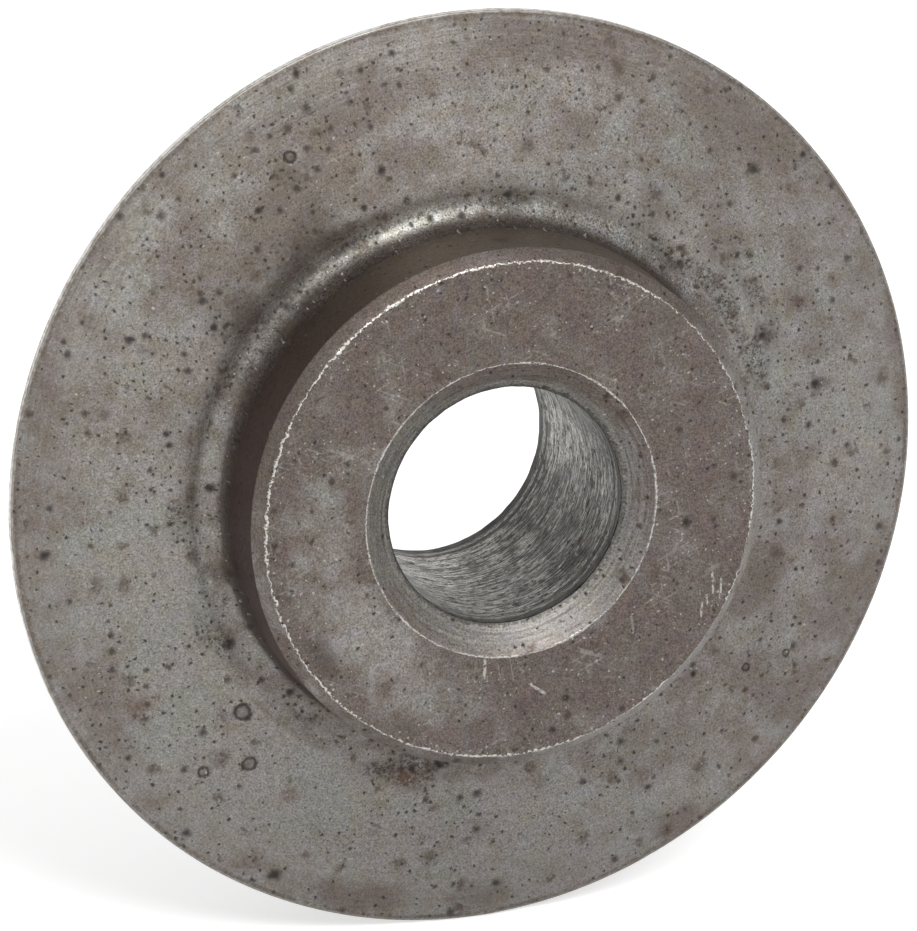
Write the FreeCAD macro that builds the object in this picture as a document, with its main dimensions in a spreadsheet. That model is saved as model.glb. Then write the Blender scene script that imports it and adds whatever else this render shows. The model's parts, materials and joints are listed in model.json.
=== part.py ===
import FreeCAD, Part
import math
import os

import Sketcher

"""Cutter-type roller wheel: one steel turning with a thin tapered blade, a hub on each side
and a bore for the axle.

The wheel spins about the Y axis. The origin is the wheel's centre, on the bore axis in the
plane of the rim, and +Z is up. Front is -Y and back is +Y. Millimetres.
"""

Vector = FreeCAD.Vector
os.makedirs("parts", exist_ok=True)

doc = FreeCAD.newDocument("RollerWheel")

# ---------------------------------------------------------------- driving dimensions
ROWS = [  # alias, value, meaning
    ("wheel_diameter", 32.0, "over the rim"),
    ("rim_land", 0.3, "width of the narrow cylindrical land on the rim"),
    ("flank_angle", 11.0, "degrees, each side, between the flank and the plane of the rim"),
    ("shoulder_diameter", 20.8, "where the ground flank stops and the root relief starts"),
    ("root_width", 2.26, "blade width where the relief meets the hub"),
    ("shoulder_blend", 2.0, "radius that softens the shoulder"),
    ("root_fillet", 0.9, "radius between the relief and the hub side"),
    ("hub_diameter", 18.0, "outside of the hub, same on both sides"),
    ("hub_width", 9.5, "over both hub faces"),
    ("hub_chamfer", 0.4, "45 degree edge break round each hub face"),
    ("bore_diameter", 8.2, "running bore for an 8 mm or 5/16 in axle pin"),
    ("bore_overrun", 2.0, "how much longer the bore cut is than the hub, both ends together"),
    ("countersink_diameter", 10.2, "mouth of the cone at each end of the bore"),
    ("countersink_depth", 0.65, "axial depth of that cone"),
]
sheet = doc.addObject("Spreadsheet::Sheet", "Dimensions")
sheet.Label = "Dimensions"
for column, heading in zip("ABC", ("alias", "value", "meaning")):
    sheet.set(f"{column}1", heading)
for row, (alias, value, meaning) in enumerate(ROWS, start=2):
    sheet.set(f"A{row}", alias)
    sheet.set(f"B{row}", str(value))
    sheet.setAlias(f"B{row}", alias)
    sheet.set(f"C{row}", meaning)
doc.recompute()

# Start values for the sketches, and positions for picking edges; the sheet drives the model.
size = {alias: value for alias, value, _ in ROWS}
wheel_radius = size["wheel_diameter"] / 2
shoulder_radius = size["shoulder_diameter"] / 2
hub_radius = size["hub_diameter"] / 2
bore_radius = size["bore_diameter"] / 2
mouth_radius = size["countersink_diameter"] / 2
cone_depth = size["countersink_depth"]
chamfer = size["hub_chamfer"]
# Distances from the plane of the rim, along the axis
half_land = size["rim_land"] / 2
half_root = size["root_width"] / 2
half_hub = size["hub_width"] / 2
flank_slope = math.tan(math.radians(size["flank_angle"]))
half_shoulder = half_land + (wheel_radius - shoulder_radius) * flank_slope

# Sketch references: the built-in axes have negative geometry numbers
START, END, CENTRE = 1, 2, 3
ORIGIN = (-1, START)
H_AXIS, V_AXIS = -1, -2

body = doc.addObject("PartDesign::Body", "RollerWheel")
body.Label = "roller_wheel"


# ---------------------------------------------------------------- helpers
def new_sketch(name, role):
    """Empty sketch on the body's origin plane with this role."""
    sketch = body.newObject("Sketcher::SketchObject", name)
    support = next(o for o in body.Origin.OriginFeatures if o.Role == role)
    sketch.AttachmentSupport = [(support, "")]
    sketch.MapMode = "FlatFace"
    return sketch


def constrain(sketch, *definition):
    return sketch.addConstraint(Sketcher.Constraint(*definition))


def drive(sketch, name, definition, expression):
    """Adds a dimension, names it and binds it to the sheet."""
    index = constrain(sketch, *definition)
    sketch.renameConstraint(index, name)
    sketch.setExpression(f"Constraints.{name}", expression)


def polygon(sketch, points):
    """Closed chain of straight lines; returns the line indices in order."""
    lines = []
    for start, end in zip(points, points[1:] + points[:1]):
        segment = Part.LineSegment(Vector(*start, 0), Vector(*end, 0))
        lines.append(sketch.addGeometry(segment, False))
    for line, following in zip(lines, lines[1:] + lines[:1]):
        constrain(sketch, "Coincident", line, END, following, START)
    return lines


def turn(kind, name, profile):
    """Revolution or Groove of a profile, a full turn about the wheel axis."""
    feature = body.newObject(f"PartDesign::{kind}", name)
    feature.Profile = profile
    feature.ReferenceAxis = (profile, ["V_Axis"])
    feature.Angle = 360.0
    profile.Visibility = False
    doc.recompute()
    return feature


def circles(shape, radius, y):
    """Names of the circular edges about the wheel axis with this radius, at this y."""
    found = []
    for i, edge in enumerate(shape.Edges, start=1):
        curve = edge.Curve
        if (
            isinstance(curve, Part.Circle)
            and abs(curve.Radius - radius) < 1e-4
            and abs(curve.Center.y - y) < 1e-4
            and abs(curve.Axis.y) > 0.999
        ):
            found.append(f"Edge{i}")
    return found


def dress_edges(kind, name, base, radius, half_width, size_property, alias):
    """Chamfer or Fillet on the front and back circles of this radius."""
    edges = circles(base.Shape, radius, -half_width) + circles(base.Shape, radius, half_width)
    feature = body.newObject(f"PartDesign::{kind}", name)
    feature.Base = (base, edges)
    feature.setExpression(size_property, f"Dimensions.{alias}")
    doc.recompute()
    return feature


# ---------------------------------------------------------------- turned blank
# Half section of blade and hubs: sketch x is the radius, sketch y runs along the wheel axis.
section = new_sketch("HalfSection", "XY_Plane")
(
    face_front, side_front, relief_front, flank_front, land,
    flank_back, relief_back, side_back, face_back, _,
) = polygon(section, [
    (0, -half_hub),
    (hub_radius, -half_hub),
    (hub_radius, -half_root),
    (shoulder_radius, -half_shoulder),
    (wheel_radius, -half_land),
    (wheel_radius, half_land),
    (shoulder_radius, half_shoulder),
    (hub_radius, half_root),
    (hub_radius, half_hub),
    (0, half_hub),
])
for face in (face_front, face_back):
    constrain(section, "Horizontal", face)
constrain(section, "Vertical", side_front)
constrain(section, "PointOnObject", face_front, START, V_AXIS)
constrain(section, "PointOnObject", face_back, END, V_AXIS)
# Front and back mirror each other about the plane of the rim.
for front_line, back_line in (
    (side_front, side_back),
    (relief_front, relief_back),
    (flank_front, flank_back),
    (land, land),
):
    constrain(section, "Symmetric", front_line, START, back_line, END, H_AXIS)
for name, definition, expression in (
    ("hub_radius", ("DistanceX", *ORIGIN, face_front, END, hub_radius),
     "Dimensions.hub_diameter / 2"),
    ("hub_width", ("DistanceY", face_front, END, face_back, START, 2 * half_hub),
     "Dimensions.hub_width"),
    ("root_width", ("DistanceY", side_front, END, side_back, START, 2 * half_root),
     "Dimensions.root_width"),
    ("shoulder_radius", ("DistanceX", *ORIGIN, relief_front, END, shoulder_radius),
     "Dimensions.shoulder_diameter / 2"),
    ("wheel_radius", ("DistanceX", *ORIGIN, flank_front, END, wheel_radius),
     "Dimensions.wheel_diameter / 2"),
    ("rim_land", ("DistanceY", land, START, land, END, 2 * half_land),
     "Dimensions.rim_land"),
    ("flank_angle", ("Angle", flank_front, math.radians(size["flank_angle"])),
     "Dimensions.flank_angle * 1 deg"),
):
    drive(section, name, definition, expression)
doc.recompute()
blank = turn("Revolution", "TurnedBlank", section)

# ---------------------------------------------------------------- axle bore
# Cut both ways from a circle in the plane of the rim.
bore_circle = new_sketch("BoreCircle", "XZ_Plane")
circle = bore_circle.addGeometry(Part.Circle(Vector(0, 0, 0), Vector(0, 0, 1), bore_radius), False)
constrain(bore_circle, "Coincident", circle, CENTRE, *ORIGIN)
drive(bore_circle, "bore_diameter", ("Diameter", circle, 2 * bore_radius),
      "Dimensions.bore_diameter")
bore = body.newObject("PartDesign::Pocket", "AxleBore")
bore.Profile = bore_circle
bore.Type = "Length"
bore.Midplane = True
bore.setExpression("Length", "Dimensions.hub_width + Dimensions.bore_overrun")
bore_circle.Visibility = False
doc.recompute()

# ---------------------------------------------------------------- countersinks
# One right triangle at each end of the bore, cut round the axis.
cones = new_sketch("CountersinkSections", "XY_Plane")
mouth_front, slope_front, wall_front = polygon(cones, [
    (bore_radius, -half_hub),
    (mouth_radius, -half_hub),
    (bore_radius, -half_hub + cone_depth),
])
wall_back, slope_back, mouth_back = polygon(cones, [
    (bore_radius, half_hub),
    (bore_radius, half_hub - cone_depth),
    (mouth_radius, half_hub),
])
constrain(cones, "Horizontal", mouth_front)
constrain(cones, "Vertical", wall_front)
constrain(cones, "Symmetric", mouth_front, START, wall_back, START, H_AXIS)
constrain(cones, "Symmetric", mouth_front, END, mouth_back, START, H_AXIS)
constrain(cones, "Symmetric", wall_front, START, wall_back, END, H_AXIS)
for name, definition, expression in (
    ("bore_radius", ("DistanceX", *ORIGIN, mouth_front, START, bore_radius),
     "Dimensions.bore_diameter / 2"),
    ("mouth_radius", ("DistanceX", *ORIGIN, mouth_front, END, mouth_radius),
     "Dimensions.countersink_diameter / 2"),
    ("face_to_face", ("DistanceY", mouth_front, START, wall_back, START, 2 * half_hub),
     "Dimensions.hub_width"),
    ("cone_depth", ("DistanceY", mouth_front, START, wall_front, START, cone_depth),
     "Dimensions.countersink_depth"),
):
    drive(cones, name, definition, expression)
doc.recompute()
sunk = turn("Groove", "Countersinks", cones)

# ---------------------------------------------------------------- edge breaks and blends
# 45 degree break round both hub faces
breaks = dress_edges("Chamfer", "HubEdgeBreaks", sunk, hub_radius, half_hub,
                     "Size", "hub_chamfer")
# Concave fillet where each side of the blade runs into the hub
roots = dress_edges("Fillet", "RootFillets", breaks, hub_radius, half_root,
                    "Radius", "root_fillet")
# Soft convex shoulder between the ground flank and the root relief
shoulders = dress_edges("Fillet", "ShoulderBlends", roots, shoulder_radius, half_shoulder,
                        "Radius", "shoulder_blend")
body.Tip = shoulders
doc.recompute()


# ---------------------------------------------------------------- validation and export
def two_rings(width, depth, centroid_radius):
    """Volume of two equal rings with a right-triangle section (Pappus)."""
    return 2 * math.pi * width * depth * centroid_radius


for obj in doc.Objects:
    if any(state in ("Invalid", "Error") for state in obj.State):
        raise SystemExit(f"{obj.Name} failed: {obj.State}")
for sketch in (section, bore_circle, cones):
    if sketch.solve() != 0:
        raise SystemExit(f"{sketch.Name} does not solve")

cone_width = mouth_radius - bore_radius
for before, after, expected in (
    (blank, bore, math.pi * bore_radius**2 * 2 * half_hub),
    (bore, sunk, two_rings(cone_width, cone_depth, bore_radius + cone_width / 3)),
    (sunk, breaks, two_rings(chamfer, chamfer, hub_radius - chamfer / 3)),
):
    removed = before.Shape.Volume - after.Shape.Volume
    if abs(removed - expected) > 0.01 * expected:
        raise SystemExit(f"{after.Name}: removed {removed:.3f} mm3, expected {expected:.3f}")
if not roots.Shape.Volume > breaks.Shape.Volume:
    raise SystemExit("the root fillets add no material")
if not shoulders.Shape.Volume < roots.Shape.Volume:
    raise SystemExit("the shoulder blends remove no material")

wheel = body.Shape
if wheel.isNull() or not wheel.isValid() or len(wheel.Solids) != 1:
    raise SystemExit(f"{body.Label}: shape is not one valid solid")
wheel.exportStep(os.path.join("parts", f"{body.Label}.step"))
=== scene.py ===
"""A worn steel roller wheel: a raised hub, a bore with a cone at each mouth, and flanks
that slope out to a narrow rim.

The axle lies along Y through the origin, the front faces -Y and Z is up. Lengths are
in millimetres up to the stage section, which is in metres.
"""
import itertools
import json
import math

import bmesh
import bpy
import numpy as np
from mathutils import Matrix, Vector


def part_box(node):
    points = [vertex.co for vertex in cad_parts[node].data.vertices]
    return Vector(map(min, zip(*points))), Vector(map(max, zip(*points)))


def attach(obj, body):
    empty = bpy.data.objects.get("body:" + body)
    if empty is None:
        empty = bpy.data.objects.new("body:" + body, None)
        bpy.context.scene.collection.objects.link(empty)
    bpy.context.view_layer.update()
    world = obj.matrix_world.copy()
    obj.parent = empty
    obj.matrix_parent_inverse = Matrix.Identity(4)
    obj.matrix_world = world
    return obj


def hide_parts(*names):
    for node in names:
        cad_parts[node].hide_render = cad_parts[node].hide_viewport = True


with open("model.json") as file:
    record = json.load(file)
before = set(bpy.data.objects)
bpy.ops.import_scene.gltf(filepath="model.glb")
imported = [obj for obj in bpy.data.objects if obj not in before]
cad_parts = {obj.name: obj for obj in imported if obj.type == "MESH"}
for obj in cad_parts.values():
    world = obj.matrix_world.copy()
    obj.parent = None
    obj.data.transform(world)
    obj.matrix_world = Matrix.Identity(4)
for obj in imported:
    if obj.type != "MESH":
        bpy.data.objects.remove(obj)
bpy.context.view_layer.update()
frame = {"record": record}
MM = 0.001  # metres in a millimetre

# ------------------------------------------------------------------ dimensions
# "Half" sizes run along the axle, from the wheel's mid plane.
box_lo, box_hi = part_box("roller_wheel")
bore_dims = next(m for m in frame["record"]["mounts"] if m["name"] == "axle_bore")["dims"]
RIM_R = (box_hi.x - box_lo.x) / 2 / MM
HUB_HALF = (box_hi.y - box_lo.y) / 2 / MM
BORE_R = bore_dims["r_mm"]
BORE_HALF = bore_dims["length_mm"] / 2
CONE_R = 5.1  # where the cone opens on the hub face
HUB_R = 9.0
BEVEL = 0.4
SHOULDER_R = 10.4
LAND_HALF = 0.15  # flat on the rim
FLANK_SLOPE = math.radians(11.0)
SHOULDER_HALF = LAND_HALF + (RIM_R - SHOULDER_R) * math.tan(FLANK_SLOPE)
ROOT_HALF = 1.13  # corner between hub wall and flank
AROUND = 512  # mesh steps round the axle

# Half section, from the bore's middle out to the rim's.
CORNERS = [  # radius, axial, rounding radius, arc steps
    (BORE_R, 0.0, 0, 0),
    (BORE_R, BORE_HALF, 0.05, 2),
    (CONE_R, HUB_HALF, 0.05, 3),
    (HUB_R - BEVEL, HUB_HALF, 0.09, 4),
    (HUB_R, HUB_HALF - BEVEL, 0.08, 3),
    (HUB_R, ROOT_HALF, 0.9, 12),
    (SHOULDER_R, SHOULDER_HALF, 2.0, 3),
    (RIM_R, LAND_HALF, 0.045, 3),
    (RIM_R, 0.0, 0, 0),
]
# Mesh steps on the straight runs: bore, cone, face, bevel, wall, root, flank, land.
FRONT_SPANS = [15, 9, 13, 2, 5, 3, 25, 1]
BACK_SPANS = [11, 5, 7, 2, 4, 2, 15, 1]


# ------------------------------------------------------------------ noise and falloffs
def lattice(ix, iy, iz, seed):
    """Repeatable value in -1..1 for each whole-number point."""
    n = (ix * 374761393 + iy * 668265263 + iz * 2147483647 + seed * 1274126177) & 0xFFFFFFFF
    n = ((n ^ (n >> 13)) * 1274126177) & 0xFFFFFFFF
    n = (n ^ (n >> 16)) & 0xFFFFFFFF
    return n.astype(np.float64) / 2147483647.5 - 1.0


def value_noise(x, y, z, seed):
    """Smooth value noise in -1..1."""
    cells = [np.floor(v).astype(np.int64) for v in (x, y, z)]
    parts = [v - cell for v, cell in zip((x, y, z), cells)]
    eases = [f * f * f * (f * (f * 6 - 15) + 10) for f in parts]
    total = 0.0
    for corner in itertools.product((0, 1), repeat=3):
        term = lattice(*(cell + step for cell, step in zip(cells, corner)), seed)
        for ease, step in zip(eases, corner):
            term = term * (ease if step else 1 - ease)
        total = total + term
    return total


def layered_noise(x, y, z, octaves, seed, gain=0.5):
    total, strength, norm = 0.0, 1.0, 0.0
    for k in range(octaves):
        layer = value_noise(x * 2**k, y * 2**k, z * 2**k, seed + 17 * k)
        total = total + strength * layer
        norm += strength
        strength *= gain
    return total / norm


def fade(value, off, on):
    """Smooth step: 0 at off, 1 at on."""
    t = np.clip((value - off) / (on - off), 0, 1)
    return t * t * (3 - 2 * t)


def bell(value, centre, width):
    return np.exp(-(((value - centre) / width) ** 2))


# ------------------------------------------------------------------ the wheel's section
def unit(vector):
    return vector / np.linalg.norm(vector)


def rounded(corners):
    """Polyline with each inner corner turned into an arc, and the arcs' end indices."""
    points = [np.array(corner[:2], float) for corner in corners]
    line, arc_ends = points[:1], []
    for k, (_, _, radius, steps) in enumerate(corners[1:-1], 1):
        corner = points[k]
        before, after = unit(points[k - 1] - corner), unit(points[k + 1] - corner)
        half_angle = math.acos(np.clip(before @ after, -1, 1)) / 2
        setback = radius / math.tan(half_angle)
        centre = corner + unit(before + after) * (radius / math.sin(half_angle))
        start, end = (
            math.atan2(*(corner + way * setback - centre)[::-1]) for way in (before, after)
        )
        sweep = (end - start + math.pi) % (2 * math.pi) - math.pi
        arc_ends += [len(line), len(line) + steps]
        for i in range(steps + 1):
            t = start + sweep * i / steps
            line.append(centre + radius * np.array([math.cos(t), math.sin(t)]))
    return line + points[-1:], arc_ends


def half_section(spans, arc_scale):
    """Half the closed section; arc_scale thins out the corner steps."""
    line, arc_ends = rounded(
        [(*corner[:3], max(2, round(corner[3] * arc_scale))) for corner in CORNERS]
    )
    ends = [0, *arc_ends, len(line) - 1]
    points = [line[0]]
    for steps, start, end, following in zip(
        spans, ends[::2], ends[1::2], ends[2::2] + ends[-1:]
    ):
        way = line[end] - line[start]
        if steps >= 3:  # support loops at the ends keep flat runs flat under smooth shading
            pad = min(0.04 / np.linalg.norm(way), 0.2)
            places = np.linspace(pad, 1 - pad, steps - 1)
            if start == 0:  # the bore carries on past the mid plane
                places = places[1:]
        else:
            places = np.linspace(0, 1, steps + 1)[1:-1]
        points += [line[start] + way * t for t in places]
        points += line[end : following + 1]
    return np.array(points)


front_half = half_section(FRONT_SPANS, arc_scale=1.0)
back_half = half_section(BACK_SPANS, arc_scale=0.7)[::-1][1:-1] * np.array([1, -1])
section = np.concatenate([front_half, back_half])
COUNT = len(section)

# ------------------------------------------------------------------ wear over the whole wheel
# Section points run along the columns of each array, steps round the axle down its rows.
angle = (np.arange(AROUND) / AROUND * 2 * math.pi)[:, None]
cos, sin = np.cos(angle), np.sin(angle)
radius, axial = section.T
away = np.abs(axial)  # from the mid plane
side = np.sign(axial)  # 1 at the front
radial_shift, axial_shift = np.zeros((2, AROUND, COUNT))


def nicks(around, along, octaves, seed, bias, gain=1.0):
    """Noise round the axle, clipped to 0..1; a lower bias makes it sparser."""
    noise = layered_noise(cos * around, sin * around, axial * along, octaves, seed)
    return np.clip(noise * gain + bias, 0, 1)


def near_corner(corner_radius, corner_away, width):
    return bell(radius, corner_radius, width) * bell(away, corner_away, width)


# Drill marks round the bore wall, cut outwards, strongest in the middle.
in_bore = (radius < BORE_R + 0.06) & (away < BORE_HALF)
ridges = nicks(around=1.3, along=1.1, octaves=2, seed=5, bias=0.4)
radial_shift += in_bore * (0.010 + 0.022 * ridges) * fade(away, off=BORE_HALF, on=BORE_HALF - 0.5)
# A groove just inside each mouth, and a slightly ragged mouth edge.
radial_shift += in_bore * 0.030 * bell(away, BORE_HALF - 0.22, width=0.07)
ragged = nicks(around=9, along=1, octaves=2, seed=21, bias=0.35)
radial_shift += near_corner(BORE_R, BORE_HALF, width=0.09) * 0.018 * ragged
# Turning rings in the cone.
on_cone = (radius > BORE_R + 0.02) & (radius < CONE_R - 0.02) & (away > BORE_HALF + 0.01)
rings = value_noise(radius * 9.0, cos * 1.2, sin * 1.2, seed=33) * 0.5
rings = rings + value_noise(radius * 17.0, cos * 1.2, sin * 1.2, seed=35) * 0.3
grooves = bell(radius, 4.42, width=0.05) * 0.016 + bell(radius, 4.25, width=0.04) * 0.012
axial_shift -= on_cone * side * (0.006 * (rings + 0.8) + grooves)
# Nicked edges: the hub face's outer edge, the cone's mouth, the bevel's foot.
nicked = near_corner(HUB_R - BEVEL, HUB_HALF, width=0.10)
nicked = nicked * nicks(around=26, along=0.3, octaves=3, seed=41, bias=-0.05, gain=1.6)
radial_shift -= nicked * 0.035
axial_shift -= side * nicked * 0.040
nicked = near_corner(CONE_R, HUB_HALF, width=0.08)
nicked = nicked * nicks(around=20, along=0.3, octaves=3, seed=47, bias=-0.3, gain=1.6)
radial_shift += nicked * 0.03
axial_shift -= side * nicked * 0.02
nicked = near_corner(HUB_R, HUB_HALF - BEVEL, width=0.08)
nicked = nicked * nicks(around=18, along=1, octaves=3, seed=53, bias=-0.1)
radial_shift -= nicked * 0.025
# Faint lathe waves on the flank, and small dints on the rim.
waves = value_noise(radius * 2.1, cos * 2.0, sin * 2.0, seed=61) + 1
waves = waves * fade(radius, off=SHOULDER_R - 0.3, on=SHOULDER_R + 0.6)
axial_shift -= side * 0.006 * waves * fade(radius, off=RIM_R, on=RIM_R - 0.3)
dints = nicks(around=34, along=1.5, octaves=2, seed=71, bias=-0.75, gain=1.8) * 0.035
dints = dints + 0.004 * (value_noise(cos * 9, sin * 9, axial * 2, seed=73) + 1)
radial_shift -= fade(radius, off=RIM_R - 0.12, on=RIM_R - 0.02) * dints

# ------------------------------------------------------------------ mesh
worn_radius = radius + radial_shift
places = np.stack([worn_radius * cos, -(axial + axial_shift), worn_radius * sin], -1)
turn, point = np.meshgrid(np.arange(AROUND), np.arange(COUNT), indexing="ij")
next_turn, next_point = (turn + 1) % AROUND, (point + 1) % COUNT
quads = [(turn, point), (turn, next_point), (next_turn, next_point), (next_turn, point)]
faces = np.stack([t * COUNT + p for t, p in quads], -1).reshape(-1, 4)
mesh = bpy.data.meshes.new("wheel_turning")
mesh.vertices.add(AROUND * COUNT)
mesh.vertices.foreach_set("co", (places * MM).astype(np.float32).ravel())
mesh.loops.add(faces.size)
mesh.loops.foreach_set("vertex_index", faces.astype(np.int32).ravel())
mesh.polygons.add(len(faces))
mesh.polygons.foreach_set("loop_start", (np.arange(len(faces)) * 4).astype(np.int32))
mesh.polygons.foreach_set("use_smooth", np.ones(len(faces), bool))
mesh.update(calc_edges=True)
mesh.validate()
wheel = bpy.data.objects.new("wheel_turning", mesh)
bpy.context.scene.collection.objects.link(wheel)

# ------------------------------------------------------------------ single marks on the front
PITS = [  # x, z, radius
    (10.07, 9.72, 0.27), (-6.94, -13.62, 0.24), (-5.96, 14.42, 0.17), (-2.67, 14.86, 0.13),
    (-3.78, 14.36, 0.13), (-10.66, 11.39, 0.12), (-9.51, 7.11, 0.17), (-9.18, 6.22, 0.13),
    (-8.75, 6.27, 0.12), (-10.87, 2.68, 0.13), (-10.78, 2.3, 0.12), (-3.27, 11.05, 0.17),
    (-7.53, 10.02, 0.13), (-3.96, 9.88, 0.12), (1.1, 9.85, 0.15), (5.0, 9.37, 0.13),
    (9.38, 6.9, 0.13), (12.05, 0.6, 0.17), (13.55, -0.35, 0.13), (11.99, 9.95, 0.12),
    (-14.89, -1.33, 0.17), (-8.77, -4.8, 0.2), (-9.46, 0.76, 0.15), (-10.04, -11.75, 0.17),
    (-6.67, -6.73, 0.17), (-2.28, -9.98, 0.17), (-1.38, -9.94, 0.2), (6.4, -11.87, 0.13),
    (7.87, -7.8, 0.13), (1.93, -6.8, 0.12), (1.47, -7.88, 0.12), (0.99, -14.83, 0.17),
    (10.93, -2.69, 0.13), (6.2, -1.08, 0.17), (-11.95, 5.95, 0.14), (12.3, 2.02, 0.2),
    (10.22, 4.02, 0.16),
]
RINGS = [  # x, z, radius of ring-shaped craters
    (-8.27, -7.36, 0.31), (-7.96, -9.28, 0.26), (-9.51, -9.47, 0.2), (-6.36, 11.72, 0.2),
    (9.88, -7.87, 0.15), (11.42, -7.61, 0.14),
]
SINK = 0.16  # crater depth over radius

editor = bmesh.new()
editor.from_mesh(mesh)
if editor.calc_volume(signed=True) < 0:
    bmesh.ops.reverse_faces(editor, faces=editor.faces)
# Finer mesh round each mark, so its crater is real relief.
editor.faces.ensure_lookup_table()
middle = np.array([f.calc_center_median()[:] for f in editor.faces]) / MM
chosen = np.zeros(len(middle), bool)
for spot_x, spot_z, size in PITS + RINGS:
    gap = np.hypot(middle[:, 0] - spot_x, middle[:, 2] - spot_z)
    chosen |= (middle[:, 1] < -0.2) & (gap < size * 1.5 + 0.12)
edges = sorted({e.index for i in np.flatnonzero(chosen) for e in editor.faces[i].edges})
editor.edges.ensure_lookup_table()
bmesh.ops.subdivide_edges(
    editor, edges=[editor.edges[i] for i in edges], cuts=3, use_grid_fill=True
)
for face in editor.faces:
    face.smooth = True
editor.to_mesh(mesh)
editor.free()

# From here the arrays hold one value for each vertex.
places = np.empty(len(mesh.vertices) * 3, np.float32)
mesh.vertices.foreach_get("co", places)
places = places.reshape(-1, 3).astype(float) / MM
x, axial, z = places[:, 0], -places[:, 1], places[:, 2]
radius, away = np.hypot(x, z), np.abs(axial)
degrees = np.degrees(np.arctan2(z, x))
front = (axial > 0).astype(float)


def spot_distance(spot):
    """Distance from an (x, z, radius) spot, 1 at its radius."""
    return np.hypot(x - spot[0], z - spot[1]) / spot[2]


def spots(table, on, off, rag=0.25, seed=0):
    """1 inside each front spot, fading out from on to off, with uneven edges."""
    total = np.zeros_like(x)
    noise = layered_noise(x * 5.5, z * 5.5, x * 0, 2, 400 + seed)
    for spot in table:
        total = np.maximum(total, fade(spot_distance(spot) + rag * noise, off=off, on=on))
    return total * front


ring_marks = spots(RINGS, on=0.9, off=1.3) - 0.62 * spots(RINGS, on=0.4, off=0.85, rag=0.15)
marks = np.maximum(spots(PITS, on=0.15, off=1.7, rag=0.45), np.clip(ring_marks, 0, 1))

sunk = np.zeros_like(x)
for spot in PITS:
    sunk = np.maximum(sunk, fade(spot_distance(spot), off=1.1, on=0.2) * spot[2] * SINK)
for spot in RINGS:
    gap = spot_distance(spot)
    crater = fade(gap, off=1.25, on=0.95) - 0.55 * fade(gap, off=0.8, on=0.4)
    sunk = np.maximum(sunk, crater * spot[2] * SINK)
places[:, 1] += sunk * front
mesh.vertices.foreach_set("co", (places * MM).astype(np.float32).ravel())
mesh.update()

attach(wheel, "root")
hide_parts("roller_wheel")


# ------------------------------------------------------------------ painted layers
def blobs(table, rag, seed):
    """Soft ovals: x, z, radius along, radius across, turn in degrees, amount."""
    total = np.zeros_like(x)
    noise = layered_noise(x * 0.9, z * 0.9, x * 0, 4, 200 + seed, 0.6)
    for blob_x, blob_z, along, across, tilt, amount in table:
        c, s = math.cos(math.radians(tilt)), math.sin(math.radians(tilt))
        dx, dz = x - blob_x, z - blob_z
        reach = np.hypot((dx * c + dz * s) / along, (dz * c - dx * s) / across)
        total = np.maximum(total, amount * fade(reach + noise * rag, off=1.25, on=0.25))
    return total


def sectors(*table):
    """Sum of wedges: amount, middle, half width, fade width, the last three in degrees.
    The middle runs from +X up towards +Z."""
    total = 0.0
    for amount, middle, half, soft in table:
        gap = np.abs((degrees - middle + 180) % 360 - 180)
        total = total + amount * fade(gap, off=half + soft, on=half)
    return total


on_face = (radius > CONE_R) & (radius < HUB_R - 0.2) & (away > 4.6)
on_bevel = (radius > 8.6) & (away > 4.33)
on_wall = (radius > 8.8) & (radius < 9.35) & (away > 1.6) & (away < 4.33)
on_cone = (radius > BORE_R + 0.05) & (radius < CONE_R + 0.02) & (away > BORE_HALF)
on_fillet = (radius > 8.9) & (radius < 9.95) & (away <= 2.1)
in_bore = (radius < BORE_R + 0.1) & (away <= BORE_HALF + 0.01)
band = bell(radius, 10.35, width=0.42) * front  # ring at the flank's inner edge
coarse = layered_noise(x * 0.35, z * 0.35, axial * 0.35 + 7, 4, 301, 0.6)
blotchy = layered_noise(x * 0.8, z * 0.8, axial * 0.8 + 3, 4, 307, 0.6)


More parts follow.
